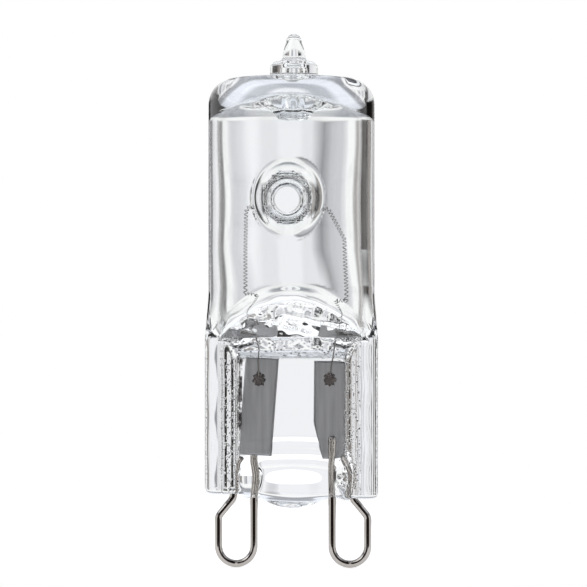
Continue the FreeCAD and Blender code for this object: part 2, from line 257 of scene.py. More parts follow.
@dataclass(frozen=True)
class QuartzGlass:
    """Fused quartz, flame blown and pinched: clear, with faint draw lines that bend what shows, and
    painted shade that darkens its pits and a line beside a foil.

    Each band is a middle, a half width and a fade in millimetres.
    """

    tint: str = "#FBFCFC"
    index: float = 1.458
    draw_line_mm: float = 1.6
    draw_stretch: float = 0.12
    draw_depth_mm: float = 0.004
    # Near-black colour that darkens the glass on the pits and on the line beside the foil: painted
    # shade, not a colour of the quartz.
    painted_shade: str = "#3A3837"
    pit_mm: float = 0.28
    pit_depth_mm: float = 0.05
    pit_edge: tuple[float, float] = (0.2, 0.42)
    patch_mm: float = 0.5
    patch_levels: tuple[float, float] = (0.38, 0.5)
    strip_x: Corner = (4.8, 0.5, 0.15)
    strip_z: Corner = (6.15, 6.15, 0.3)
    border_x: Corner = (0.0, 5.1, 0.2)
    border_z: Corner = (11.55, 0.65, 0.2)
    # Band of the line of painted shade beside the foil.
    painted_shade_line_x: Corner = (-4.14, 0.16, 0.08)
    painted_shade_line_z: Corner = (7.9, 2.8, 0.3)

    def fading(self, tree: Tree, value: Socket, start: float, end: float) -> Socket:
        """Mask of 1 up to the start, fading to 0 at the end."""
        return add_node(tree, "ShaderNodeMapRange", {"interpolation_type": "SMOOTHSTEP"}, {
            "Value": value, "From Min": start, "From Max": end,
            "To Min": 1.0, "To Max": 0.0}).outputs[0]

    def field(self, tree: Tree, *bands: tuple[Socket, Corner]) -> Socket:
        """Mask of 1 where each coordinate lies in its band.

        Args:
            tree: the material's node tree.
            bands: coordinates with their bands.

        Returns:
            The mask.
        """
        mask = 1.0
        for value, (middle, half, fade) in bands:
            away = compute(tree, "ABSOLUTE", compute(tree, "SUBTRACT", value, middle * MM))
            band = self.fading(tree, away, half * MM, (half + fade) * MM)
            mask = compute(tree, "MULTIPLY", band, mask)
        return mask

    def jaw_pits_and_painted_shade(self, tree: Tree) -> tuple[Socket, Socket]:
        """Pits on the sloped border of the seal's recess, which also carry painted shade, and a line of
        painted shade beside the foil.

        Args:
            tree: the material's node tree.

        Returns:
            The pits and the line of painted shade as masks.
        """
        place_socket = add_node(tree, "ShaderNodeTexCoord").outputs["Object"]
        x, _, z = add_node(tree, "ShaderNodeSeparateXYZ", inputs={0: place_socket}).outputs
        across = compute(tree, "ABSOLUTE", x)
        strips = self.field(tree, (across, self.strip_x), (z, self.strip_z))
        border = self.field(tree, (across, self.border_x), (z, self.border_z))
        painted_shade_line = self.field(tree, (x, self.painted_shade_line_x), (z, self.painted_shade_line_z))
        cells = add_node(tree, "ShaderNodeTexVoronoi", inputs={
            "Vector": place_socket, "Scale": 1 / (self.pit_mm * MM)})
        pits_and_shade = self.fading(tree, cells.outputs["Distance"], *self.pit_edge)
        low, high = self.patch_levels
        patchy = add_node(tree, "ShaderNodeMapRange", inputs={
            "Value": noise(tree, self.patch_mm, 2.0), "From Min": low, "From Max": high}).outputs[0]
        rough = compute(tree, "MULTIPLY", compute(tree, "MAXIMUM", strips, border), pits_and_shade)
        return compute(tree, "MULTIPLY", rough, patchy), compute(tree, "MULTIPLY", painted_shade_line, patchy)

    def material(self) -> Material:
        """Builds the glass."""
        material, tree, shader = new_material("quartz_glass")
        pits_and_shade, painted_shade_line = self.jaw_pits_and_painted_shade(tree)
        lines = noise(tree, self.draw_line_mm, 1.0, self.draw_stretch)
        drawn = relief(tree, lines, self.draw_depth_mm)
        feed(tree, shader, {
            "Normal": relief(tree, pits_and_shade, self.pit_depth_mm, drawn),
            # Base colour: painted shade, near-black on the pits and on the line beside the foil.
            "Base Color": mix_colours(tree, "MIX", compute(tree, "MAXIMUM", pits_and_shade, painted_shade_line),
                                      linear_colour(self.tint), linear_colour(self.painted_shade)),
            "Transmission Weight": 1.0, "Roughness": 0.0, "IOR": self.index})
        return material


@dataclass(frozen=True)
class DrawnWire:
    """Bright metal wire, drawn through a die: fine lines run along it and stretch its gleam."""

    name: str
    colour: str
    roughness: float
    line_mm: float = 0.12
    line_stretch: float = 0.08
    line_depth_mm: float = 0.0015

    def material(self) -> Material:
        """Builds the wire's metal."""
        material, tree, shader = new_material(self.name)
        lines = noise(tree, self.line_mm, 2.0, self.line_stretch)
        feed(tree, shader, {
            "Normal": relief(tree, lines, self.line_depth_mm),
            "Base Color": linear_colour(self.colour), "Metallic": 1.0, "Roughness": self.roughness})
        return material


@dataclass(frozen=True)
class RolledFoil:
    """Molybdenum foil, cold rolled and etched: satin grey with streaks along its length."""

    dark: str = "#929294"
    light: str = "#C0C0C2"
    streak_mm: float = 0.35
    streak_stretch: float = 0.07
    roughness: float = 0.38

    def material(self) -> Material:
        """Builds the foil's metal."""
        material, tree, shader = new_material("molybdenum_foil")
        streaks = noise(tree, self.streak_mm, 3.0, self.streak_stretch)
        feed(tree, shader, {
            "Base Color": mix_colours(tree, "MIX", streaks, linear_colour(self.dark),
                                      linear_colour(self.light)),
            "Metallic": 1.0, "Roughness": self.roughness})
        return material


@dataclass(frozen=True)
class ScorchedWeld:
    """Resistance weld, crumpled and scorched: dark folds with small bright glints of metal."""

    colour: str = "#6C6664"
    grain_mm: float = 0.15
    grain_depth_mm: float = 0.05
    roughness: float = 0.22

    def material(self) -> Material:
        """Builds the weld's metal."""
        material, tree, shader = new_material("scorched_weld")
        feed(tree, shader, {
            "Normal": relief(tree, noise(tree, self.grain_mm, 3.0), self.grain_depth_mm),
            "Base Color": linear_colour(self.colour), "Metallic": 1.0, "Roughness": self.roughness})
        return material


# Glass -----------------------------------------------------------------------------------------


def smooth_least(a: Array, b: Array, width: float) -> Array:
    """Lesser of two fields with a rounded join.

    Args:
        a: first field.
        b: second field.
        width: size of the round in millimetres.

    Returns:
        The joined field.
    """
    share = np.clip(0.5 + 0.5 * (b - a) / width, 0, 1)
    return b + (a - b) * share - width * share * (1 - share)


def smooth_most(a: Array, b: Array, width: float) -> Array:
    """Greater of two fields with a rounded join."""
    return -smooth_least(-a, -b, width)


def round_most(a: Array, b: Array, radius: float) -> Array:
    """Greater of two distances, with a true fillet of that radius at the outer corner."""
    inner = np.minimum(np.maximum(a, b) + radius, 0)
    return inner + np.hypot(np.maximum(a + radius, 0), np.maximum(b + radius, 0)) - radius


def bent(share: Array) -> Array:
    """Curve from 0 to 1 that starts level and ends in a slope, as glass bends under the jaws."""
    share = np.clip(share, 0, 1)
    return share * share * (2 - share)


def ellipsoid(x: Array, y: Array, z: Array, centre: Corner,
              half: Corner) -> Array:
    """Rough distance to an ellipsoid, from its centre and half sizes."""
    scaled = np.sqrt(sum(((spot - middle) / size) ** 2
                         for spot, middle, size in zip((x, y, z), centre, half)))
    return (scaled - 1) * min(half)

@dataclass
class GlassCapsule:
    """The one piece of glass, as a signed distance in millimetres that is meshed and smoothed."""

    body_radius: float = 6.65
    body_wall: float = 0.8
    shoulder_top_z: float = 33.1
    shoulder_radius: float = 2.2
    shoulder_rise: float = 0.25
    crown_radius: float = 4.5
    ceiling_z: float = 32.23
    ceiling_radius: float = 2.63
    exhaust_x: float = 0.2
    stub_radius: float = 1.92
    stub_height: float = 1.25
    stub_edge_radius: float = 0.45
    neck_radius: float = 0.92
    neck_drop: float = 0.35
    tip_height: float = 1.95
    tip_end_radius: float = 0.62
    tip_fullness: float = 1.5
    bore_radius: float = 0.75
    bore_top_z: float = 34.3
    bore_end_radius: float = 0.6
    collar_radius_top: float = 1.6
    collar_radius_end: float = 1.25
    collar_length: float = 2.43
    bowl_radius: float = 3.41
    bowl_depth: float = 1.37
    dimple_x: float = -0.35
    dimple_z: float = 23.4
    dimple_mouth_radius: float = 3.03
    dimple_throat_radius: float = 1.63
    dimple_floor_radius: float = 1.48
    dimple_throat_depth: float = 2.96
    dimple_wall: float = 0.28
    dimple_floor_fillet: float = 0.46
    post_half_thickness: float = 0.85
    pinch_half_width: float = 6.88
    rail_half_thickness: float = 2.5
    rail_corner_radius: float = 0.7
    rail_end_radius: float = 0.5
    end_slope_drop: float = 0.45
    web_half_thickness: float = 1.2
    web_half_width: float = 4.4
    recess_slope_run: float = 0.75
    recess_top_z: float = 10.9
    recess_top_ease: float = 1.8
    pinch_top_z: float = 12.4
    flare_top_z: float = 16.4
    bead_x: float = 0.15
    bead_half_width: float = 2.95
    bead_half_thickness: float = 1.2
    bead_centre_z: float = 0.45
    bead_drop: float = 1.28
    wedge_half_thickness: float = 0.2
    wedge_slope: float = 1.9
    wedge_folds: float = 0.09
    fold_waves: tuple[Corner, ...] = ((2.9, 1.7, 0.0), (1.3, -3.1, 0.8))
    wedge_side_z: float = 12.3
    wedge_arch: float = 0.5
    wedge_arch_half_width: float = 4.4
    wedge_arch_least: float = -0.6
    lumps: tuple[tuple[Corner, Corner], ...] = (
        ((-3.4, 0.2, 1.15), (1.05, 1.7, 1.6)), ((4.45, -0.2, 1.4), (1.3, 1.8, 2.0)))
    rail_grooves: tuple[Corner, ...] = (
        (-5.7, 0.22, 0.11), (6.2, 0.22, 0.11), (5.55, 0.14, 0.05))
    groove_wander: float = 0.05
    groove_top_z: float = 13.2
    groove_fade: float = 1.5
    ridges: tuple[tuple[float, float], ...] = ((3.9, 0.1), (2.45, 0.13))
    ridge_width: float = 0.34
    ridge_bow: float = 0.02
    bore_shift: float = -0.12
    bore_shift_rise: float = 3.0
    waist_depth: float = 0.12
    waist_reach: float = 4.0
    wall_ripple: float = 0.02
    ripple_length: float = 7.5
    fine_step: float = 0.1827
    wall_step: float = 0.34
    plain_spans: tuple[tuple[float, float], ...] = ((17.5, 19.0), (27.8, 29.3))
    dimple_reach: float = 6.0
    recess_blend: float = 0.35
    recess_corner: float = 0.8
    web_corner: float = 0.3
    bead_blend: float = 0.6
    lump_blend: float = 0.45
    edge_blend: float = 0.25
    neck_blend: float = 0.3
    bowl_blend: float = 0.4
    bore_blend: float = 0.3
    wedge_blend: float = 0.5
    floor_blend: float = 0.2
    skin_blend: float = 0.12
    post_blend: float = 0.7
    mouth_blend: float = 0.4

    def squeezed(self, x: Array, y: Array, z: Array) -> Array:
        """Distance to the tube, which turns from round to the pinch's rounded box in the flare.

        Args:
            x: across the loops.
            y: front to back.
            z: height.

        Returns:
            The distance, less than zero inside.
        """
        share = bent((self.flare_top_z - z) / (self.flare_top_z - self.pinch_top_z))
        radius = self.body_radius
        width, depth, corner = (radius + (end - radius) * share for end in (
            self.pinch_half_width, self.rail_half_thickness, self.rail_corner_radius))
        over_x = np.abs(x) - width + corner
        over_y = np.abs(y) - depth + corner
        outside = np.hypot(np.maximum(over_x, 0), np.maximum(over_y, 0))
        return outside + np.minimum(np.maximum(over_x, over_y), 0) - corner

    def outside(self, x: Array, y: Array, z: Array) -> Array:
        """Outer skin without the dimples: tube, shoulder, stub, tip, pinched seal and bead."""
        tube = self.squeezed(x, np.abs(y) + self.grooving(x, z), z)
        level = 1 - np.clip(np.hypot(x, y) / self.crown_radius, 0, 1)
        crown = self.shoulder_top_z + self.shoulder_rise * level
        body = round_most(tube, z - crown, self.shoulder_radius)
        lower_end = -self.end_slope_drop * 0.5 * (1 + x / self.pinch_half_width)
        body = round_most(body, lower_end - z, self.rail_end_radius)
        body = smooth_most(body, -self.recess(x, y, z), self.recess_blend)
        body = smooth_least(body, self.bead(x, y, z), self.bead_blend)
        for centre, half in self.lumps:
            body = smooth_least(body, ellipsoid(x, y, z, centre, half), self.lump_blend)
        return smooth_least(body, self.exhaust_end(x, y, z), self.edge_blend)

    def grooving(self, x: Array, z: Array) -> Array:
        """Depth of the shallow furrows that the jaws leave along the rails."""
        wander = self.groove_wander * np.sin(1.3 * z)
        depth = np.zeros_like(z)
        for middle, width, drop in self.rail_grooves:
            depth = depth + drop * np.exp(-((x - middle + wander) / width) ** 2)
        return depth * np.clip((self.groove_top_z - z) / self.groove_fade, 0, 1)

    def recess(self, x: Array, y: Array, z: Array) -> Array:
        """Tapered pocket in each face that leaves the web between the rails."""
        depth = self.rail_half_thickness - self.web_half_thickness
        slope = self.recess_slope_run / depth
        level = 1 / math.hypot(1, slope)
        web = self.web_half_thickness + self.web_ridges(x, z)
        run = slope * (np.abs(y) - self.web_half_thickness)
        sides = (np.abs(x) - self.web_half_width - run) * level
        top = (z - self.recess_top_z - run * self.recess_top_ease) * level
        return smooth_most(smooth_most(sides, top, self.recess_corner), web - np.abs(y),
                           self.web_corner)

    def web_ridges(self, x: Array, z: Array) -> Array:
        """Low cross ridges that the pinch jaws leave on the web, near its lower end."""
        ridge = np.zeros_like(z)
        for height, rise in self.ridges:
            bow = height - self.ridge_bow * x * x
            ridge = ridge + rise * np.exp(-((z - bow) / self.ridge_width) ** 2)
        return ridge

    def bead(self, x: Array, y: Array, z: Array) -> Array:
        """Bead of glass squeezed out below the web."""
        height = self.bead_centre_z + self.bead_drop
        return ellipsoid(x, y, z, (self.bead_x, 0.0, self.bead_centre_z),
                         (self.bead_half_width, self.bead_half_thickness, height))

    def exhaust_end(self, x: Array, y: Array, z: Array) -> Array:
        """Stub with a sloped shoulder, and the drawn-off tip."""
        from_axis = np.hypot(x - self.exhaust_x, y)
        rim_z = self.shoulder_top_z + self.stub_height
        slope = self.neck_drop * (1 - from_axis / self.stub_radius)
        stub = round_most(from_axis - self.stub_radius, z - rim_z - slope, self.stub_edge_radius)
        stub = np.maximum(stub, self.shoulder_top_z - 1 - z)
        neck_z = rim_z + self.neck_drop
        end_z = neck_z + self.tip_height - self.tip_end_radius
        share = np.clip((z - neck_z) / (end_z - neck_z), 0, 1)
        narrowing = self.neck_radius - self.tip_end_radius
        radius = self.neck_radius - narrowing * share ** self.tip_fullness
        above = np.maximum(z - end_z, 0)
        tip = np.where(z > end_z, np.hypot(from_axis, above), from_axis) - radius
        tip = np.maximum(tip, rim_z - 0.5 - z)
        return smooth_least(stub, tip, self.neck_blend)

    def gas(self, x: Array, y: Array, z: Array) -> Array:
        """Hollow of the capsule, with the collar left standing and the blind bore above it."""
        wall = self.body_wall + self.waist(z)
        eased = np.clip((z - self.flare_top_z) / self.bore_shift_rise, 0, 1)
        bore_x = x - self.bore_shift * eased
        tube = self.squeezed(bore_x, y, z) + wall
        hollow = round_most(tube, z - self.ceiling_z, self.ceiling_radius)
        arch = 1 - (x / self.wedge_arch_half_width) ** 2
        floor = self.wedge_side_z + self.wedge_arch * np.clip(arch, self.wedge_arch_least, 1)
        folds = math.prod(np.sin(a * x + b * z + c) for a, b, c in self.fold_waves)
        spread = (self.wedge_half_thickness + self.wedge_slope * (z - floor)
                  + self.wedge_folds * folds * np.clip(z - floor, 0, 1))
        closing = (np.abs(y) - spread) / math.hypot(1, self.wedge_slope)
        hollow = smooth_most(hollow, closing, self.wedge_blend)
        hollow = smooth_most(hollow, floor - z, self.floor_blend)
        hollow = smooth_most(hollow, -self.collar(x, y, z), self.edge_blend)
        from_axis = np.hypot(x - self.exhaust_x, y)
        bore = round_most(from_axis - self.bore_radius, z - self.bore_top_z, self.bore_end_radius)
        bore = np.maximum(bore, self.ceiling_z - self.collar_length - 0.5 - z)
        return smooth_least(hollow, bore, self.bore_blend)

    def waist(self, z: Array) -> Array:
        """Extra thickness of the wall, where pressing the dimples drew the soft glass inwards."""
        from_dimples = (z - self.dimple_z + 1.0) / self.waist_reach
        swell = self.waist_depth * np.exp(-from_dimples ** 2)
        return swell + self.wall_ripple * np.sin(2 * math.pi * z / self.ripple_length)

    def collar(self, x: Array, y: Array, z: Array) -> Array:
        """Bowl and collar of glass that stand into the capsule round the bore."""
        from_axis = np.hypot(x - self.exhaust_x, y)
        end_z = self.ceiling_z - self.collar_length
        bowl_z = self.ceiling_z - self.bowl_depth
        share = np.clip((bowl_z - z) / (bowl_z - end_z), 0, 1)
        radius = self.collar_radius_top + (self.collar_radius_end - self.collar_radius_top) * share
        stem = round_most(from_axis - radius, end_z - z, 0.25)
        sag = self.ceiling_z - self.bowl_depth * np.sqrt(
            np.clip(1 - (from_axis / self.bowl_radius) ** 2, 0, 1))
        bowl = np.maximum((sag - z) * 0.8, from_axis - self.bowl_radius)
        return smooth_least(stem, bowl, self.bowl_blend)

    def funnel(self, x: Array, y: Array, z: Array, grow: float,
               floor_y: float) -> Array:
        """Distance to both dimples' funnels.

        Args:
            x: across the loops.
            y: front to back.
            z: height.
            grow: extra radius, the thickness of the glass that stands round the funnel.
            floor_y: depth at which the funnel ends, from the bulb's middle plane.

        Returns:
            The distance, less than zero inside a funnel.
        """
        from_axis = np.hypot(x - self.dimple_x, z - self.dimple_z)
        out = np.abs(y)
        throat_y = self.body_radius - self.dimple_throat_depth
        mouth = np.clip((out - throat_y) / self.dimple_throat_depth, 0, 1.3)
        neck = np.clip((out - floor_y) / (throat_y - floor_y), 0, 1)
        radius = (self.dimple_floor_radius
                  + (self.dimple_throat_radius - self.dimple_floor_radius) * neck
                  + (self.dimple_mouth_radius - self.dimple_throat_radius) * mouth ** 2)
        return round_most((from_axis - radius - grow) * 0.9, floor_y - out,
                          self.dimple_floor_fillet)

    def distance(self, points: Array) -> Array:
        """Signed distance of points to the glass.

        Args:
            points: rows, or a grid, of x, y and z in millimetres on the last axis.

        Returns:
            The distance, less than zero in the glass.
        """
        x, y, z = points[..., 0], points[..., 1], points[..., 2]
        outer = self.outside(x, y, z)
        glass = smooth_most(outer, -self.gas(x, y, z), self.skin_blend)
        post = np.maximum(self.funnel(x, y, z, self.dimple_wall, 0.0), outer)
        near_dimples = np.abs(z - self.dimple_z) < self.dimple_reach
        joined = np.maximum(smooth_least(glass, post, self.post_blend), outer)
        carved = smooth_most(joined, -self.funnel(x, y, z, 0.0, self.post_half_thickness),
                             self.mouth_blend)
        return np.where(near_dimples, carved, glass)

    def grid_lines(self) -> list[Array]:
        """Grid planes along x, y and z, closer together where the form is fine."""
        reach = self.pinch_half_width + 2 * self.fine_step
        across = np.arange(-reach, reach + self.fine_step, self.fine_step)
        heights = []
        z = -self.bead_drop - 3 * self.fine_step
        top = self.shoulder_top_z + self.stub_height + self.neck_drop + self.tip_height + 0.5
        while z < top:
            heights.append(z)
            plain = any(low < z < high for low, high in self.plain_spans)
            z += self.wall_step if plain else self.fine_step
        return [across, across, np.array(heights)]

    def mesh(self) -> tuple[Array, Array]:
        """Meshes the glass with one point in each grid cell that its surface crosses.

        Returns:
            Points in millimetres, and quads of point numbers wound outwards.
        """
        lines = self.grid_lines()
        grid = np.stack(np.meshgrid(*lines, indexing="ij"), axis=-1)
        field = self.distance(grid)
        cells = tuple(n - 1 for n in field.shape)
        total = np.zeros(cells + (3,))
        count = np.zeros(cells)
        crossings = []
        for axis in range(3):
            low = [slice(None)] * 3
            high = [slice(None)] * 3
            low[axis], high[axis] = slice(None, -1), slice(1, None)
            a, b = field[tuple(low)], field[tuple(high)]
            crossed = (a < 0) != (b < 0)
            at = np.argwhere(crossed)
            a, b = a[crossed], b[crossed]
            share = a / (a - b)
            spots = grid[tuple(low)][crossed]
            spots[:, axis] += share * (lines[axis][at[:, axis] + 1] - lines[axis][at[:, axis]])
            around = self.cells_around(at, axis)
            for cell in around:
                np.add.at(total, cell, spots)
                np.add.at(count, cell, 1)
            crossings.append((around, (a < 0) != (axis == 1)))
        used = count > 0
        number = np.full(cells, -1)
        number[used] = np.arange(used.sum())
        points = total[used] / count[used][:, None]
        quads = []
        for around, outwards in crossings:
            quad = np.stack([number[cell] for cell in around], axis=1)
            quad[~outwards] = quad[~outwards][:, ::-1]
            quads.append(quad)
        return self.settled(points), np.concatenate(quads)

    def cells_around(self, at: Array, axis: int) -> list[tuple[Array, ...]]:
        """The four grid cells that share each crossed edge, in turn round it.

        Args:
            at: rows of the edges' grid numbers.
            axis: the axis that the edges lie along.

        Returns:
            Cell numbers, ready to index the grid.
        """
        first, second = (np.eye(3, dtype=int)[k] for k in range(3) if k != axis)
        return [tuple((at - step).T) for step in (0 * first, first, first + second, second)]

    def settled(self, points: Array) -> Array:
        """Moves points onto the exact surface."""
        for _ in range(4):
            slope = self.slope(points)
            steep = np.maximum((slope ** 2).sum(axis=1), 0.05)
            step = -self.distance(points) / steep
            step = np.clip(step, -self.fine_step / 2, self.fine_step / 2)
            points = points + slope * step[:, None]
        return points

    def slope(self, points: Array) -> Array:
        """Gradient of the distance, by central differences."""
        reach = 0.004
        slope = np.empty_like(points)
        for axis in range(3):
            shift = np.zeros(3)
            shift[axis] = reach
            slope[:, axis] = (self.distance(points + shift) - self.distance(points - shift))
        return slope / (2 * reach)

    def build(self, material: Material) -> None:
        """Makes the glass in place of its CAD node, with its exact normals."""
        points, quads = self.mesh()
        piece = make_object("glass_capsule", points, quads, material)
        normals = self.slope(points)
        normals /= np.maximum(np.linalg.norm(normals, axis=1), 1e-6)[:, None]
        piece.data.normals_split_custom_set_from_vertices(normals.tolist())
        place(piece, "glass_envelope")


# Wire, foil and coil ---------------------------------------------------------------------------


def rounded_route(corners: list[Corner], radii: list[float],
                  step: float) -> Array:
    """Points along straight runs that are joined by tangent arcs.

    Args:
        corners: ends and corners of the route in millimetres.
        radii: bend radius at each inner corner.
        step: spacing of the points on the arcs.

    Returns:
        Rows of x, y and z.
    """
    spots = [np.array(c, float) for c in corners]
    route = [spots[0]]
    for before, corner, after, radius in zip(spots[:-2], spots[1:-1], spots[2:], radii):
        back = (before - corner) / np.linalg.norm(before - corner)
        onward = (after - corner) / np.linalg.norm(after - corner)
        half = math.acos(float(np.clip(back @ onward, -1, 1))) / 2
        reach = radius / math.tan(half)
        bisector = (back + onward) / np.linalg.norm(back + onward)
        centre = corner + bisector * radius / math.sin(half)
        first = corner + back * reach - centre
        last = corner + onward * reach - centre
        turn = math.pi - 2 * half
        count = max(int(turn * radius / step), 4)
        for index in range(count + 1):
            share = index / count
            mixed = (math.sin((1 - share) * turn) * first + math.sin(share * turn) * last)
            route.append(centre + mixed / math.sin(turn))
    route.append(spots[-1])
    dense = [route[0]]
    for start, end in zip(route[:-1], route[1:]):
        parts = max(math.ceil(np.linalg.norm(end - start) / (4 * step)), 1)
        dense += [start + (end - start) * part / parts for part in range(1, parts + 1)]
    return np.array(dense)


def swept_wire(route: Array, radii: Array, sides: int,
               end_round: float = 0.0) -> tuple[Array, list]:
    """Round wire along a route, with closed ends.

    Args:
        route: rows of x, y and z in millimetres.
        radii: the wire's radius at each point of the route.
        sides: number of sides of its section.
        end_round: how far the ends are rounded, in radii.

    Returns:
        Points in millimetres and faces.
    """
    if end_round:
        route, radii = with_round_ends(route, radii, end_round)
    ways = np.gradient(route, axis=0)
    ways /= np.linalg.norm(ways, axis=1)[:, None]
    side = np.cross(ways[0], (0.0, 1.0, 0.0) if abs(ways[0][1]) < 0.9 else (1.0, 0.0, 0.0))
    points = []
    for spot, way, radius in zip(route, ways, radii):
        side = side - way * (side @ way)
        side /= np.linalg.norm(side)
        other = np.cross(way, side)
        for k in range(sides):
            angle = 2 * math.pi * k / sides
            points.append(spot + radius * (math.cos(angle) * side + math.sin(angle) * other))
    last = (len(route) - 1) * sides
    faces = [(low + k, low + (k + 1) % sides, low + sides + (k + 1) % sides, low + sides + k)
             for low in range(0, last, sides) for k in range(sides)]
    faces += [tuple(range(sides))[::-1], tuple(range(last, last + sides))]
    return np.array(points), faces


def with_round_ends(route: Array, radii: Array,
                    end_round: float) -> tuple[Array, Array]:
    """Adds short tapering rings at both ends of a route, so that the ends are rounded."""
    for _ in range(2):
        way = route[0] - route[1]
        way /= np.linalg.norm(way)
        reach = radii[0] * end_round
        extra, sizes = [], []
        for angle in (80, 55, 30):
            extra.append(route[0] + way * reach * (math.sin(math.radians(angle)) - 1))
            sizes.append(radii[0] * math.cos(math.radians(angle)))
        extra.append(route[0] - way * reach)
        sizes.append(radii[0])
        route = np.concatenate([extra, route[1:]])[::-1]
        radii = np.concatenate([sizes, radii[1:]])[::-1]
    return route, radii


@dataclass
class ContactLoop:
    """One contact, bent from round wire and sealed into the glass at both ends."""

    side: Side
    shift: float
    face: int
    wire_diameter: float = 0.6
    foil_thickness: float = 0.05
    loop_radius: float = 1.42
    loop_side_x: float = 4.525
    loop_bottom_z: float = -6.05
    shoulder_knee_z: float = -1.95
    entry_z: float = -0.5
    entry_inset: float = 1.2
    anchor_rise_z: float = 1.5
    anchor_end_z: float = 2.85
    anchor_end_gap: float = 0.35
    lead_top_z: float = 4.5
    bend_radii: tuple[float, ...] = (1.4186, 1.4186, 0.75, 0.8, 1.0)

    def route(self) -> Array:
        """The wire's middle line, from its weld on the foil round to its anchored end."""
        way = self.side.value
        axis_x = way * (self.loop_side_x + self.shift)
        inner_x = axis_x - way * self.loop_radius
        outer_x = axis_x + way * self.loop_radius
        entry_x = outer_x - way * self.entry_inset
        end_x = inner_x + way * (self.wire_diameter + self.anchor_end_gap)
        y = self.face * (self.wire_diameter + self.foil_thickness) / 2
        bottom_z = self.loop_bottom_z + self.wire_diameter / 2
        corners = [
            (inner_x, y, self.lead_top_z), (inner_x, y, bottom_z), (outer_x, y, bottom_z),
            (outer_x, y, self.shoulder_knee_z), (entry_x, y, self.entry_z),
            (entry_x, y, self.anchor_rise_z), (end_x, y, self.anchor_end_z)]
        return rounded_route(corners, list(self.bend_radii), 0.12)

    def build(self, material: Material) -> None:
        """Makes the wire in place of its CAD node."""
        route = self.route()
        radii = np.full(len(route), self.wire_diameter / 2)
        points, faces = swept_wire(route, radii, 24, end_round=0.8)
        place(make_object(self.side.node("wire_loop"), points, faces, material),
              self.side.node("contact_loop"))


@dataclass
class SealFoil:
    """Molybdenum foil in the seal: thick in the middle, feathered to its long edges."""

    side: Side
    centre_x: float
    centre_z: float
    tilt_deg: float
    taper: float = 0.0
    width: float = 2.66
    length: float = 7.9
    thickness: float = 0.05
    edge_thickness: float = 0.008
    ripple: float = 0.012

    def build(self, material: Material) -> None:
        """Makes the foil in place of its CAD node."""
        columns, rows = 14, 36
        tilt = math.radians(self.tilt_deg)
        points = []
        for face in (-1, 1):
            for row in range(rows + 1):
                along = self.length * (row / rows - 0.5)
                cut = min(max(-(along / self.length * 2 + 0.25) / 0.75, 0), 1)
                left = self.taper * cut - self.width / 2
                for column in range(columns + 1):
                    share = column / columns
                    across = left + (self.width / 2 - left) * share
                    bulge = 1 - (2 * share - 1) ** 4
                    half = self.edge_thickness + (self.thickness - self.edge_thickness) * bulge
                    wave = self.ripple * math.sin(3.1 * across + 0.5 * along) * bulge
                    x = across * math.cos(tilt) + along * math.sin(tilt)
                    z = -across * math.sin(tilt) + along * math.cos(tilt)
                    points.append((self.centre_x + x, face * half / 2 + wave, self.centre_z + z))
        place(make_object(self.side.node("seal_foil"), np.array(points),
                          sheet_faces(columns, rows), material),
              self.side.node("foil"))


def sheet_faces(columns: int, rows: int) -> list:
    """Faces of a closed thin sheet whose two sides are grids of points.

    Args:
        columns: cells across.
        rows: cells along.

    Returns:
        Faces of both sides and of the rim.
    """
    span = columns + 1
    back = span * (rows + 1)
    faces = []
    for row in range(rows):
        for column in range(columns):
            a = row * span + column
            faces.append((a, a + 1, a + span + 1, a + span))
            faces.append((back + a, back + a + span, back + a + span + 1, back + a + 1))
    rim = ([c for c in range(columns)] + [r * span + columns for r in range(rows)]
           + [rows * span + c for c in range(columns, 0, -1)] + [r * span for r in range(rows, 0, -1)])
    for a, b in zip(rim, rim[1:] + rim[:1]):
        faces.append((a, back + a, back + b, b))
    return faces


@dataclass
class FineLead:
    """Fine wire from the coil's tail down to its weld."""

    side: Side
    diameter: float = 0.12
    bend_radius: float = 0.35

    def corners(self) -> list[Corner]:
        """Ends and corners of the wire's middle line."""
        if self.side is Side.LEFT:
            return [(-3.72, 0, 14.65), (-3.52, -0.0425, 13.75), (-2.6, -0.085, 12.25),
                    (-2.66, -0.085, 10.45), (-2.6, -0.085, 9.252)]
        return [(4.44, 0, 14.65), (4.14, -0.0425, 13.75), (3.45, -0.085, 12.45),
                (3.3, -0.085, 10.75), (3.05, -0.085, 9.252)]

    def build(self, material: Material) -> None:
        """Makes the lead in place of its CAD node."""
        corners = self.corners()
        route = rounded_route(corners, [self.bend_radius] * (len(corners) - 2), 0.05)
        points, faces = swept_wire(route, np.full(len(route), self.diameter / 2), 12)
        place(make_object(self.side.node("fine_lead"), points, faces, material),
              self.side.node("inner_lead"))


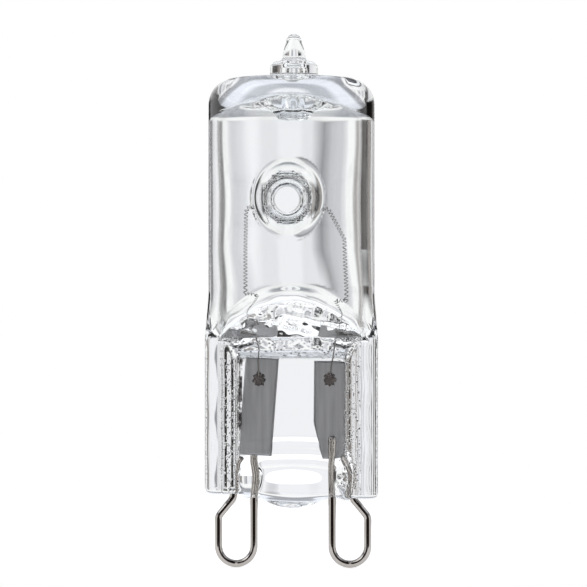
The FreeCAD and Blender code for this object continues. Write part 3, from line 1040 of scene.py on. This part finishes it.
@dataclass
class WeldBlob:
    """Crumpled weld where a fine lead meets its foil: a ball dented by two crossed waves."""

    side: Side
    seed: float
    crumple: float = 0.6
    mean_dent: float = 0.55
    wave_dent: float = 0.45
    spread: float = 1.55
    columns: int = 28
    rows: int = 14

    def build(self, material: Material) -> None:
        """Makes the blob at its CAD node's middle, up to 1.7 times as wide and high."""
        low, high = (np.array(corner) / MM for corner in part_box(self.side.node("weld_tab")))
        middle = (low + high) / 2
        half = (high - low) / 2 * (self.spread, 1, self.spread)
        points = [middle + half * (0, 0, 1)]
        for row in range(1, self.rows):
            polar = math.pi * row / self.rows
            for column in range(self.columns):
                turn = 2 * math.pi * column / self.columns
                way = np.array([math.sin(polar) * math.cos(turn), math.sin(polar) * math.sin(turn),
                                math.cos(polar)])
                wave = math.sin(5 * turn + self.seed) * math.sin(4 * polar + 2 * self.seed)
                wave += 0.6 * math.sin(9 * turn - self.seed) * math.sin(7 * polar)
                dent = self.crumple * (self.mean_dent + self.wave_dent * wave)
                points.append(middle + half * way * (1 - dent))
        points.append(middle - half * (0, 0, 1))
        last = len(points) - 1
        faces = []
        for column in range(self.columns):
            after = (column + 1) % self.columns
            faces.append((0, 1 + column, 1 + after))
            for row in range(self.rows - 2):
                start = 1 + row * self.columns
                faces.append((start + column, start + self.columns + column,
                              start + self.columns + after, start + after))
            start = 1 + (self.rows - 2) * self.columns
            faces.append((start + column, last, start + after))
        place(make_object(self.side.node("weld_blob"), np.array(points), faces, material),
              self.side.node("weld_tab"))


@dataclass
class Filament:
    """Tungsten coil, wound along its arch by Geometry Nodes, with a straight tail at each end."""

    coil_diameter: float = 0.36
    wire_diameter: float = 0.06
    pitch: float = 0.28
    points_per_turn: int = 12
    foot_z: float = 15.0
    left_leg_x: float = -3.72
    right_leg_x: float = 4.44
    lean: float = 0.14
    top_z: float = 22.85
    bend_radius: float = 0.5
    post_x: float = -0.35
    under_z: float = 21.26
    tail_length: float = 0.35
    tail_overlap: float = 0.3
    tail_radius: float = 0.06
    post_half_width: float = 0.8
    left_shelf: float = 1.0
    rise_x: float = 2.2
    right_shelf: float = 1.3
    right_drop: float = 2.55
    shelf_drop: float = 0.15

    def corners(self) -> list[Corner]:
        """Ends and corners of the coil's middle line."""
        left, right = self.left_leg_x + self.lean, self.right_leg_x - self.lean
        shelf_z = self.top_z - self.shelf_drop
        return [
            (self.left_leg_x, 0, self.foot_z), (left, 0, self.top_z),
            (left + self.left_shelf, 0, self.top_z),
            (self.post_x - self.post_half_width, 0, self.under_z),
            (self.post_x + self.post_half_width, 0, self.under_z),
            (self.post_x + self.rise_x, 0, shelf_z), (right - self.right_shelf, 0, shelf_z),
            (right, 0, self.top_z - self.right_drop), (self.right_leg_x, 0, self.foot_z)]

    def winding_tree(self, material: Material) -> Tree:
        """Node tree that winds a round wire about the curve it is given.

        Args:
            material: metal of the wire.

        Returns:
            The tree, with the coil's sizes as named inputs.
        """
        tree = bpy.data.node_groups.new("wound_coil", "GeometryNodeTree")
        face = tree.interface
        face.new_socket("Geometry", in_out="INPUT", socket_type="NodeSocketGeometry")
        for name, kind in (("Turns", "NodeSocketFloat"), ("Points", "NodeSocketInt"),
                           ("Winding Radius", "NodeSocketFloat"), ("Wire Radius", "NodeSocketFloat")):
            face.new_socket(name, in_out="INPUT", socket_type=kind)
        face.new_socket("Geometry", in_out="OUTPUT", socket_type="NodeSocketGeometry")
        given = add_node(tree, "NodeGroupInput").outputs
        rail = add_node(tree, "GeometryNodeCurvePrimitiveLine")
        dense = add_node(tree, "GeometryNodeResampleCurve", inputs={
            "Curve": rail.outputs[0], "Count": given["Points"]})
        along = add_node(tree, "GeometryNodeSplineParameter").outputs["Factor"]
        sample = add_node(tree, "GeometryNodeSampleCurve", {"mode": "FACTOR"}, {
            "Curves": given["Geometry"], "Factor": along})
        turned = compute(tree, "MULTIPLY", along, given["Turns"])
        angle = compute(tree, "MULTIPLY", turned, 2 * math.pi)
        depth = add_node(tree, "ShaderNodeCombineXYZ", inputs={"Y": 1.0})
        side = add_node(tree, "ShaderNodeVectorMath", {"operation": "CROSS_PRODUCT"}, {
            0: sample.outputs["Tangent"], 1: depth.outputs[0]})
        reach = []
        for operation, way in (("COSINE", side), ("SINE", depth)):
            size = compute(tree, "MULTIPLY", compute(tree, operation, angle),
                           given["Winding Radius"])
            reach.append(add_node(tree, "ShaderNodeVectorMath", {"operation": "SCALE"}, {
                0: way.outputs[0], "Scale": size}).outputs[0])
        offset = add_node(tree, "ShaderNodeVectorMath", {"operation": "ADD"}, {
            0: reach[0], 1: reach[1]})
        spot = add_node(tree, "ShaderNodeVectorMath", {"operation": "ADD"}, {
            0: sample.outputs["Position"], 1: offset.outputs[0]})
        wound = add_node(tree, "GeometryNodeSetPosition", inputs={
            "Geometry": dense.outputs[0], "Position": spot.outputs[0]})
        section = add_node(tree, "GeometryNodeCurvePrimitiveCircle", inputs={
            "Resolution": 6, "Radius": given["Wire Radius"]})
        wire = add_node(tree, "GeometryNodeCurveToMesh", inputs={
            "Curve": wound.outputs[0], "Profile Curve": section.outputs[0], "Fill Caps": True})
        real = add_node(tree, "GeometryNodeRealizeInstances", inputs={0: wire.outputs[0]})
        dressed = add_node(tree, "GeometryNodeSetMaterial", inputs={
            "Geometry": real.outputs[0], "Material": material})
        add_node(tree, "NodeGroupOutput", inputs={0: dressed.outputs[0]})
        return tree

    def build(self, material: Material) -> None:
        """Winds the coil and adds its tails, in place of the CAD node."""
        corners = self.corners()
        route = rounded_route(corners, [self.bend_radius] * (len(corners) - 2), 0.04)
        length = float(np.linalg.norm(np.diff(route, axis=0), axis=1).sum())
        turns = round(length / self.pitch)
        curve = bpy.data.curves.new("coil_path", "CURVE")
        curve.dimensions = "3D"
        spline = curve.splines.new("POLY")
        spline.points.add(len(route) - 1)
        for point, spot in zip(spline.points, route):
            point.co = (*(spot * MM), 1)
        winder = bpy.data.objects.new("coil_path", curve)
        bpy.context.scene.collection.objects.link(winder)
        modifier = winder.modifiers.new("wound_coil", "NODES")
        modifier.node_group = self.winding_tree(material)
        sizes = {
            "Turns": float(turns), "Points": turns * self.points_per_turn,
            "Winding Radius": (self.coil_diameter - self.wire_diameter) / 2 * MM,
            "Wire Radius": self.wire_diameter / 2 * MM}
        for item in modifier.node_group.interface.items_tree:
            if item.in_out == "INPUT" and item.name in sizes:
                modifier[item.identifier] = sizes[item.name]
        evaluated = winder.evaluated_get(bpy.context.evaluated_depsgraph_get())
        wound = bpy.data.meshes.new_from_object(evaluated)
        winder.modifiers.remove(modifier)
        bpy.data.objects.remove(winder)
        coil = np.array([tuple(v.co) for v in wound.vertices]) / MM
        faces = [tuple(p.vertices) for p in wound.polygons]
        for foot_x, _, foot_z in (corners[0], corners[-1]):
            tail = np.array([(foot_x, 0, foot_z + self.tail_overlap),
                             (foot_x, 0, foot_z - self.tail_length)])
            points, rings = swept_wire(tail, np.full(2, self.tail_radius), 12)
            faces += [tuple(i + len(coil) for i in f) for f in rings]
            coil = np.concatenate([coil, points])
        place(make_object("wound_filament", coil, faces, material), "filament")


# Studio ----------------------------------------------------------------------------------------


def mirrored(*half: tuple[float, str]) -> Zones:
    """Zones above zero, repeated below it.

    Args:
        half: brightness by rising angle.

    Returns:
        Brightness by angle on both sides of zero.
    """
    return tuple((-angle, colour) for angle, colour in half[::-1]) + half


@dataclass
class Studio:
    """White background, bright sides and dark cards that draw the glass's edges, and a floor.

    Zones give the sky's brightness by angle in degrees: round the bulb from straight behind it,
    or up from the horizon. The front zones darken the wires' cores, and clear glass sees through
    them by the camera gap. The card ends keep the round zones near the horizon.

    The round zones from -8 to 9.6 degrees aren't free choices: their greys were worked out from
    the photo's brightness at single columns of the tube, and their angles by a ray trace made
    outside this script.
    """

    floor_z: float = -6.07
    floor_colour: str = "#F4F4F4"
    floor_glow: float = 0.6
    floor_radius: float = 48.0
    floor_centre_y: float = 30.0
    floor_sides: int = 64
    lamp_size_m: float = 0.25
    lamp_power_w: float = 0.25
    lamp_spot_m: Corner = (-0.16, -0.12, 0.24)
    lamp_aim_m: Corner = (0, 0, 0.016)
    round_zones: Zones = (
        (-180, "#FFFFFF"), (-52, "#FFFFFF"), (-29, "#E0E0E4"), (-25.5, "#1A1817"),
        (-14.6, "#1A1817"), (-13, "#FFFFFF"), (-9, "#FFFFFF"), (-8, "#D2D2D6"), (-6, "#CFCFD3"),
        (-4, "#E2E2E6"), (-3, "#F8F8FB"), (3.2, "#F8F8FB"), (3.7, "#A3A3A7"), (4.2, "#929296"),
        (4.8, "#B5B5B9"), (6.6, "#C8C8CC"), (8.3, "#C6C6CA"), (9.6, "#DCDCE0"),
        (11.3, "#FFFFFF"), (15.5, "#FFFFFF"), (18.5, "#8E8884"), (24, "#A8A29E"),
        (33, "#3A3634"), (50, "#3A3634"), (56, "#FFFFFF"), (180, "#FFFFFF"))
    height_zones: Zones = (
        (-90, "#FFFFFF"), (-26, "#FFFFFF"), (-23, "#77777A"), (-19, "#77777A"),
        (-16.5, "#FFFFFF"), (15, "#FFFFFF"), (19, "#9C9EA4"), (27, "#A6A8AE"), (32, "#F2F6FF"),
        (46, "#F2F6FF"), (54, "#BEC2CA"), (68, "#BEC2CA"), (76, "#F8FAFF"), (90, "#F8FAFF"))
    front_zones: Zones = mirrored((126, "#FFFFFF"), (138, "#2B2522"), (180, "#2B2522"))
    camera_gap: Zones = mirrored((158, "#000000"), (164, "#FFFFFF"), (180, "#FFFFFF"))
    card_ends: Zones = mirrored((5, "#000000"), (9, "#FFFFFF"), (90, "#FFFFFF"))

    def build_world(self) -> None:
        """World whose brightness depends on the direction alone, and is white to the camera."""
        world = bpy.data.worlds.new("studio")
        bpy.context.scene.world = world
        world.use_nodes = True
        tree = world.node_tree
        tree.nodes.clear()
        way = add_node(tree, "ShaderNodeTexCoord").outputs["Generated"]
        x, y, z = add_node(tree, "ShaderNodeSeparateXYZ", inputs={0: way}).outputs
        around = compute(tree, "ARCTAN2", x, y)
        height = compute(tree, "ARCSINE", z)
        path = add_node(tree, "ShaderNodeLightPath").outputs
        cards = mix_colours(tree, "LIGHTEN", 1.0, self.ramp(tree, around, self.round_zones),
                            self.ramp(tree, height, self.card_ends))
        front = mix_colours(tree, "LIGHTEN", path["Is Transmission Ray"],
                            self.ramp(tree, around, self.front_zones),
                            self.ramp(tree, around, self.camera_gap))
        faced = mix_colours(tree, "MULTIPLY", 1.0, cards, front)
        colour = mix_colours(tree, "MULTIPLY", 1.0, faced,
                             self.ramp(tree, height, self.height_zones))
        light = add_node(tree, "ShaderNodeBackground", inputs={"Color": colour, "Strength": 1.0})
        seen = add_node(tree, "ShaderNodeBackground", inputs={"Color": WHITE, "Strength": 1.0})
        both = add_node(tree, "ShaderNodeMixShader", inputs={
            0: path["Is Camera Ray"], 1: light.outputs[0], 2: seen.outputs[0]})
        add_node(tree, "ShaderNodeOutputWorld", inputs={0: both.outputs[0]})

    def ramp(self, tree: Tree, angle: Socket, zones: Zones) -> Socket:
        """Colour ramp over an angle.

        Args:
            tree: the world's node tree.
            angle: the angle in radians.
            zones: brightness by angle, in rising order.

        Returns:
            The colour.
        """
        first, last = zones[0][0], zones[-1][0]
        share = add_node(tree, "ShaderNodeMapRange", inputs={
            "Value": angle, "From Min": math.radians(first), "From Max": math.radians(last)})
        node = add_node(tree, "ShaderNodeValToRGB", inputs={"Fac": share.outputs[0]})
        stops = node.color_ramp.elements
        while len(stops) > 1:
            stops.remove(stops[-1])
        stops[0].position = 0.0
        stops[0].color = linear_colour(zones[0][1])
        for degrees, colour in zones[1:]:
            stops.new((degrees - first) / (last - first)).color = linear_colour(colour)
        return node.outputs[0]

    def build_floor(self) -> None:
        """Pale round floor that shows as the white background and keeps the shadow."""
        material = bpy.data.materials.new("pale_floor")
        material.use_nodes = True
        tree = material.node_tree
        tree.nodes.clear()
        paint = add_node(tree, "ShaderNodeBsdfDiffuse", inputs={
            "Color": linear_colour(self.floor_colour)})
        glow = add_node(tree, "ShaderNodeEmission", inputs={
            "Color": WHITE, "Strength": self.floor_glow})
        lit = add_node(tree, "ShaderNodeAddShader", inputs={0: paint.outputs[0], 1: glow.outputs[0]})
        path = add_node(tree, "ShaderNodeLightPath").outputs
        shown = path["Is Camera Ray"]
        for kind in ("Is Transmission Ray", "Is Glossy Ray"):
            shown = compute(tree, "MAXIMUM", shown, path[kind])
        both = add_node(tree, "ShaderNodeMixShader", inputs={
            0: shown, 1: paint.outputs[0], 2: lit.outputs[0]})
        add_node(tree, "ShaderNodeOutputMaterial", inputs={0: both.outputs[0]})
        turns = [2 * math.pi * k / self.floor_sides for k in range(self.floor_sides)]
        rim = [(self.floor_radius * math.cos(turn),
                self.floor_centre_y + self.floor_radius * math.sin(turn), self.floor_z)
               for turn in turns]
        make_object("floor", np.array(rim), [tuple(range(self.floor_sides))], material)

    def build_lamp(self) -> None:
        """One large soft lamp above the front left."""
        lamp = bpy.data.lights.new("soft_lamp", "AREA")
        lamp.size = self.lamp_size_m
        lamp.energy = self.lamp_power_w
        holder = bpy.data.objects.new("soft_lamp", lamp)
        holder.location = Vector(self.lamp_spot_m)
        holder.rotation_euler = (Vector(self.lamp_aim_m) - holder.location).to_track_quat(
            "-Z", "Y").to_euler()
        bpy.context.scene.collection.objects.link(holder)


@dataclass
class ViewingCamera:
    """Level camera straight in front, at the photograph's angle and framing."""

    focal_mm: float = 200.0
    sensor_mm: float = 36.0
    axis_x_px: float = 291.5
    zero_z_px: float = 492.0

    def build(self) -> None:
        """Places the camera."""
        frame_mm = IMAGE_SIDE / PIXELS_PER_MM
        centre_x = (IMAGE_SIDE / 2 - self.axis_x_px) / PIXELS_PER_MM
        centre_z = (self.zero_z_px - IMAGE_SIDE / 2) / PIXELS_PER_MM
        distance = frame_mm * self.focal_mm / self.sensor_mm
        camera = bpy.data.cameras.new("camera")
        camera.lens = self.focal_mm
        camera.sensor_width = self.sensor_mm
        camera.clip_start = 0.01
        holder = bpy.data.objects.new("camera", camera)
        holder.location = Vector((centre_x, -distance, centre_z)) * MM
        holder.rotation_euler = (math.pi / 2, 0, 0)
        bpy.context.scene.collection.objects.link(holder)
        bpy.context.scene.camera = holder


# Build -----------------------------------------------------------------------------------------


def main() -> None:
    """Builds the bulb piece by piece, then the studio and the camera."""
    logging.basicConfig(level=logging.INFO, format="%(message)s")
    bpy.context.scene.view_settings.view_transform = "Standard"
    nickel = DrawnWire("nickel_wire", "#B4AFAA", 0.07).material()
    molybdenum = DrawnWire("molybdenum_wire", "#8C8886", 0.3).material()
    tungsten = DrawnWire("tungsten_wire", "#575351", 0.3).material()
    foil = RolledFoil().material()
    weld = ScorchedWeld().material()
    GlassCapsule().build(QuartzGlass().material())
    ContactLoop(Side.LEFT, -0.1, 1).build(nickel)
    ContactLoop(Side.RIGHT, 0.14, -1).build(nickel)
    SealFoil(Side.LEFT, -2.62, 6.9, 4.3).build(foil)
    SealFoil(Side.RIGHT, 3.1, 6.55, 0.6, taper=0.75).build(foil)
    for side in Side:
        FineLead(side).build(molybdenum)
    Filament().build(tungsten)
    WeldBlob(Side.LEFT, 0.4).build(weld)
    WeldBlob(Side.RIGHT, 2.1).build(weld)
    studio = Studio()
    studio.build_world()
    studio.build_floor()
    studio.build_lamp()
    ViewingCamera().build()


if __name__ == "__main__":
    main()
